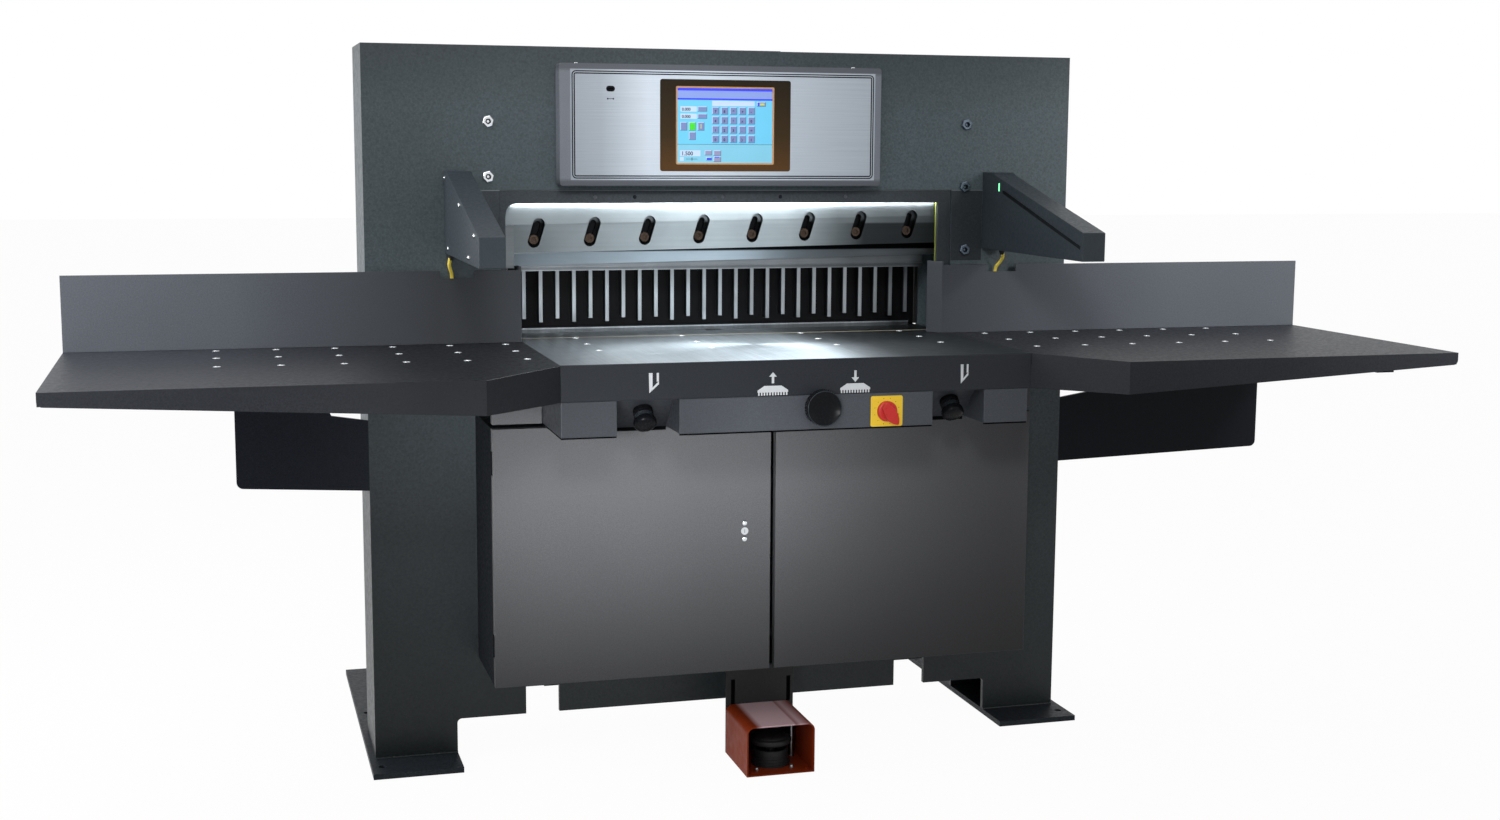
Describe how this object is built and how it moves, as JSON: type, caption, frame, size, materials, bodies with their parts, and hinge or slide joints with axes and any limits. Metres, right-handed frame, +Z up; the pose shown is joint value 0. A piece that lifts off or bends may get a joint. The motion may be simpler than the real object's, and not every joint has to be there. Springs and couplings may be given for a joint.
{
  "type": "hydraulic paper cutter",
  "caption": "Floor-standing hydraulic guillotine for paper: slanting knife bar over a clamp, back gauge, air tables with fences, light-curtain arms, screen, cabinet doors and hooded foot pedal.",
  "frame": {"origin": "on the floor, under the middle of the bounding box", "axes": "+X to the operator's right, +Y from the operator to the back of the machine, +Z up"},
  "size_m": [2.784, 1.86, 1.532],
  "materials": {
    "frame_paint": "hammered dark grey-green",
    "charcoal_paint": "satin charcoal",
    "housing_paint": "satin blue-grey",
    "black_paint": "satin black",
    "polished_steel": "ground and polished",
    "bare_steel": "machined",
    "silver_plate": "satin",
    "screen_glass": "gloss",
    "clear_strip": "gloss",
    "black_plastic": "matt",
    "yellow_plastic": "satin",
    "red_plastic": "gloss",
    "rust_paint": "gloss rust orange",
    "stick_plastic": "matt"
  },
  "bodies": {
    "frame": {"front_frame_plate": "frame_paint", "rear_frame_plate": "frame_paint", "left_side_plate": "frame_paint", "right_side_plate": "frame_paint", "foot_plates": "frame_paint", "head_cover": "frame_paint", "base_shelf": "frame_paint", "rear_stand": "frame_paint", "throat_plate": "frame_paint", "throat_lamp": "clear_strip", "knife_gibs": "bare_steel", "main_table": "polished_steel", "cutting_stick": "stick_plastic", "rear_table": "bare_steel", "table_front_lip": "charcoal_paint", "left_side_table": "charcoal_paint", "right_side_table": "charcoal_paint", "left_fence": "charcoal_paint", "right_fence": "charcoal_paint", "side_table_brackets": "black_paint", "air_balls": "polished_steel", "display_frame": "housing_paint", "display_plate": "silver_plate", "touch_screen": "screen_glass", "left_light_arm": "charcoal_paint", "right_light_arm": "charcoal_paint", "curtain_lenses": "clear_strip", "arm_cables": "yellow_plastic", "cabinet_shell": "charcoal_paint", "door_hinges": "bare_steel", "control_housing": "housing_paint", "button_collars": "black_plastic", "switch_plate": "yellow_plastic", "pedal_hood": "rust_paint", "pedal_bracket": "black_paint", "pedal_switch_body": "black_plastic", "knife_cylinder": "bare_steel", "clamp_cylinder": "bare_steel", "backgauge_motor": "black_paint", "oil_tank": "black_paint", "pump_motor": "black_paint", "air_blower": "black_paint", "frame_fasteners": "bare_steel"},
    "left_door": {"left_door": "charcoal_paint"},
    "right_door": {"right_door": "charcoal_paint"},
    "door_lock": {"door_lock": "bare_steel"},
    "knife_slide": {"knife_slide": "polished_steel"},
    "knife_bar": {"knife_bar": "polished_steel", "knife_blade": "polished_steel", "knife_bolts": "bare_steel"},
    "clamp": {"clamp_bar": "polished_steel", "clamp_pull_frame": "polished_steel"},
    "backgauge": {"backgauge_comb": "bare_steel", "backgauge_carriage": "bare_steel"},
    "lead_screw": {"lead_screw": "polished_steel"},
    "left_cut_button": {"left_cut_button": "black_plastic"},
    "right_cut_button": {"right_cut_button": "black_plastic"},
    "jog_knob": {"jog_knob": "black_plastic"},
    "switch_knob": {"switch_knob": "red_plastic"},
    "foot_pedal": {"foot_pedal": "black_plastic"}
  },
  "joints": [
    {"name": "left_door_hinge", "type": "hinge", "parent": "frame", "child": "left_door", "pos_m": [-0.561, -0.523, 0.3], "axis": [0, 0, -1], "range_deg": [0, 95]},
    {"name": "right_door_hinge", "type": "hinge", "parent": "frame", "child": "right_door", "pos_m": [0.596, -0.523, 0.3], "axis": [0, 0, 1], "range_deg": [0, 95]},
    {"name": "door_lock_turn", "type": "hinge", "parent": "left_door", "child": "door_lock", "pos_m": [-0.041, -0.533, 0.525], "axis": [0, -1, 0], "range_deg": [0, 90]},
    {"name": "knife_travel", "type": "slide", "parent": "frame", "child": "knife_slide", "axis": [-0.3502, 0, -0.9367], "range_m": [0, 0.16623]},
    {"name": "knife_swing", "type": "hinge", "parent": "knife_slide", "child": "knife_bar", "pos_m": [-0.6, -0.266, 1.18], "axis": [0, 1, 0], "range_deg": [0, 0.958]},
    {"name": "clamp_travel", "type": "slide", "parent": "frame", "child": "clamp", "axis": [0, 0, -1], "range_m": [0, 0.1455]},
    {"name": "backgauge_travel", "type": "slide", "parent": "frame", "child": "backgauge", "axis": [0, 1, 0], "range_m": [-0.05, 0.834]},
    {"name": "lead_screw_turn", "type": "hinge", "parent": "frame", "child": "lead_screw", "pos_m": [0, -0.153, 0.848], "axis": [0, 1, 0], "continuous": true},
    {"name": "left_cut_button_press", "type": "slide", "parent": "frame", "child": "left_cut_button", "axis": [0, 0.7071, 0.7071], "range_m": [0, 0.005], "stiffness_N_per_m": 500, "springref_m": -0.006},
    {"name": "right_cut_button_press", "type": "slide", "parent": "frame", "child": "right_cut_button", "axis": [0, 0.7071, 0.7071], "range_m": [0, 0.005], "stiffness_N_per_m": 500, "springref_m": -0.006},
    {"name": "jog_knob_turn", "type": "hinge", "parent": "frame", "child": "jog_knob", "pos_m": [0.053, -0.777, 0.815], "axis": [0, 1, 0], "continuous": true},
    {"name": "main_switch_turn", "type": "hinge", "parent": "frame", "child": "switch_knob", "pos_m": [0.195, -0.741, 0.801], "axis": [0, 1, 0], "range_deg": [0, 90]},
    {"name": "foot_pedal_press", "type": "slide", "parent": "frame", "child": "foot_pedal", "axis": [0, 0, -1], "range_m": [0, 0.008], "stiffness_N_per_m": 1500, "springref_m": -0.008}
  ],
  "couplings": [
    {"joint": "knife_swing", "follows": "knife_travel", "rad_per_m": 0.10017},
    {"joint": "lead_screw_turn", "follows": "backgauge_travel", "rad_per_m": -628.32}
  ]
}
